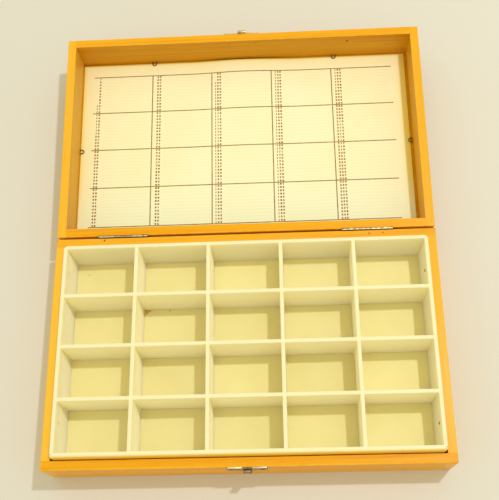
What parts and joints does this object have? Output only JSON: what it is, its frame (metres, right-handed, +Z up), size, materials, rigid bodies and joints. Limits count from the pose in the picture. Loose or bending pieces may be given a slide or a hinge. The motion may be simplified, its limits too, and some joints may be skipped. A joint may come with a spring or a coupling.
{
  "type": "compartmented storage box",
  "caption": "Shallow comb-jointed wooden storage box with a hinged lid, a moulded tray of compartments, an index card in the lid and a front catch.",
  "frame": {"origin": "centre of the base's underside", "axes": "+Z up, -Y towards the front with the catch, +Y towards the hinges and the opened lid, +X to the right seen from the front"},
  "size_m": [0.3, 0.3689, 0.0516],
  "materials": {
    "varnished_wood": "satin varnish",
    "panel_wood": "satin varnish",
    "tray_plastic": "satin",
    "lining_card": "matt",
    "index_card": "matt, printed",
    "nickel_plate": "aged nickel plate",
    "nail_steel": "dull",
    "clip_wire": "brown, aged"
  },
  "bodies": {
    "base": {"base_front_board": "varnished_wood", "base_back_board": "varnished_wood", "base_left_board": "varnished_wood", "base_right_board": "varnished_wood", "base_bottom_panel": "panel_wood", "compartment_tray": "tray_plastic", "compartment_linings": "lining_card", "tray_pins": "nail_steel", "hinge_left_base_leaf": "nickel_plate", "hinge_right_base_leaf": "nickel_plate", "hinge_left_pin": "nickel_plate", "hinge_right_pin": "nickel_plate", "hinge_base_nails": "nail_steel", "catch_base_plate": "nickel_plate", "catch_base_nails": "nail_steel", "catch_hook_pin": "nail_steel"},
    "lid": {"lid_front_board": "varnished_wood", "lid_back_board": "varnished_wood", "lid_left_board": "varnished_wood", "lid_right_board": "varnished_wood", "lid_panel": "panel_wood", "index_card": "index_card", "card_clips": "clip_wire", "hinge_left_lid_leaf": "nickel_plate", "hinge_right_lid_leaf": "nickel_plate", "hinge_lid_nails": "nail_steel", "catch_lid_plate": "nickel_plate", "catch_lid_nails": "nail_steel"},
    "hook": {"catch_hook": "nickel_plate"}
  },
  "joints": [
    {"name": "lid_hinge", "type": "hinge", "parent": "base", "child": "lid", "pos_m": [0, 0.09105, 0.03855], "axis": [1, 0, 0], "range_deg": [0, 176.5]},
    {"name": "catch_hook_swing", "type": "hinge", "parent": "base", "child": "hook", "pos_m": [0, -0.09245, 0.0289], "axis": [1, 0, 0], "range_deg": [-9, 16]}
  ]
}
